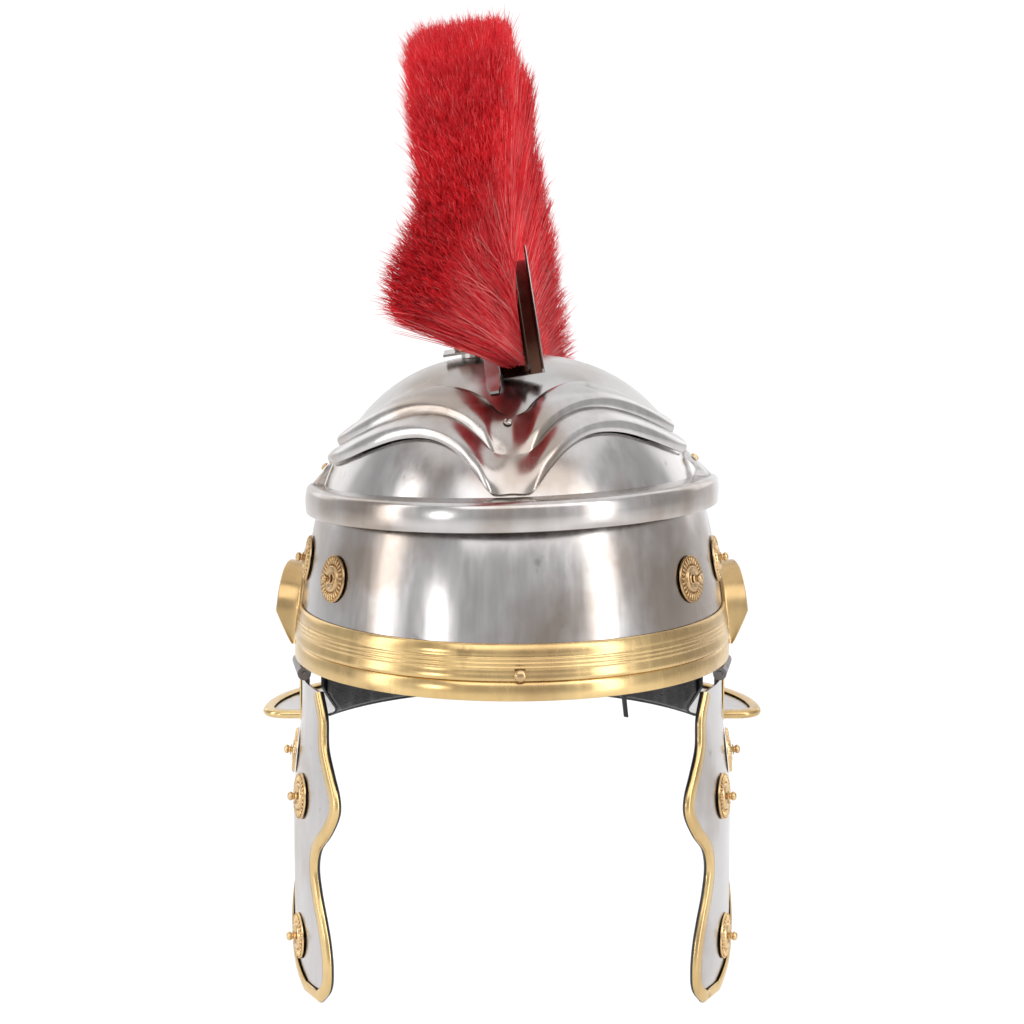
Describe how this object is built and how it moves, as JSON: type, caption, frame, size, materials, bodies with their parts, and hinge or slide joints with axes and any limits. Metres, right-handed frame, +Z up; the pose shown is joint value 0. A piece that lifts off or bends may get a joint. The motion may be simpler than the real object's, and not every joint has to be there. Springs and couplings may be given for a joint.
{
  "type": "roman legionary helmet with a hair crest",
  "caption": "Polished steel legionary helmet with embossed brow plate, brow guard, brass fittings, hinged cheek guards, neck guard and a fan-shaped red hair crest.",
  "frame": {"origin": "middle of the head opening, in the plane of the front rim, where the helmet sits on a head", "axes": "+Z up to the crown, -Y towards the brow, +X towards the wearer's left"},
  "size_m": [0.2684, 0.3785, 0.4811],
  "materials": {
    "polished_steel": "polished, with soft brush marks and a few brown stains",
    "brass": "satin, slightly tarnished",
    "black_leather": "matt black",
    "crest_base": "dark brown, matt",
    "red_hair": "dyed hair, soft sheen"
  },
  "bodies": {
    "helmet": {"skull_bowl": "polished_steel", "brow_plate": "polished_steel", "brow_plate_rivet": "polished_steel", "brow_guard": "polished_steel", "brow_guard_rivet_right": "brass", "brow_guard_rivet_left": "brass", "brow_band": "brass", "brow_band_rivet": "brass", "rim_edging": "brass", "neck_trim": "brass", "lining": "black_leather", "lining_thong": "black_leather", "crest_channel": "polished_steel", "crest_core": "crest_base", "crest_brush": "red_hair", "crest_bracket": "polished_steel", "crest_bracket_rivet": "brass", "crest_post": "polished_steel", "crest_stud": "polished_steel", "ear_guard_right": "brass", "brow_rosette_right": "brass", "brow_rosette_right_knob": "brass", "temple_rosette_right": "brass", "temple_rosette_right_knob": "brass", "hinge_leaf_right": "polished_steel", "hinge_pin_right": "polished_steel", "ear_guard_left": "brass", "brow_rosette_left": "brass", "brow_rosette_left_knob": "brass", "temple_rosette_left": "brass", "temple_rosette_left_knob": "brass", "hinge_leaf_left": "polished_steel", "hinge_pin_left": "polished_steel"},
    "cheek_right": {"cheek_guard_right": "polished_steel", "cheek_leaf_right": "polished_steel", "cheek_trim_right": "brass", "cheek_rosette_rear_right": "brass", "cheek_rosette_rear_right_knob": "brass", "cheek_rosette_front_right": "brass", "cheek_rosette_front_right_knob": "brass", "cheek_rosette_low_right": "brass", "cheek_rosette_low_right_knob": "brass"},
    "cheek_left": {"cheek_guard_left": "polished_steel", "cheek_leaf_left": "polished_steel", "cheek_trim_left": "brass", "cheek_rosette_rear_left": "brass", "cheek_rosette_rear_left_knob": "brass", "cheek_rosette_front_left": "brass", "cheek_rosette_front_left_knob": "brass", "cheek_rosette_low_left": "brass", "cheek_rosette_low_left_knob": "brass"}
  },
  "joints": [
    {"name": "right_cheek_hinge", "type": "hinge", "parent": "helmet", "child": "cheek_right", "pos_m": [-0.10562, -0.01993, -0.0055], "axis": [-0.1506, 0.9886, 0], "range_deg": [-15, 95]},
    {"name": "left_cheek_hinge", "type": "hinge", "parent": "helmet", "child": "cheek_left", "pos_m": [0.10562, -0.01993, -0.0055], "axis": [-0.1506, -0.9886, 0], "range_deg": [-15, 95]}
  ]
}
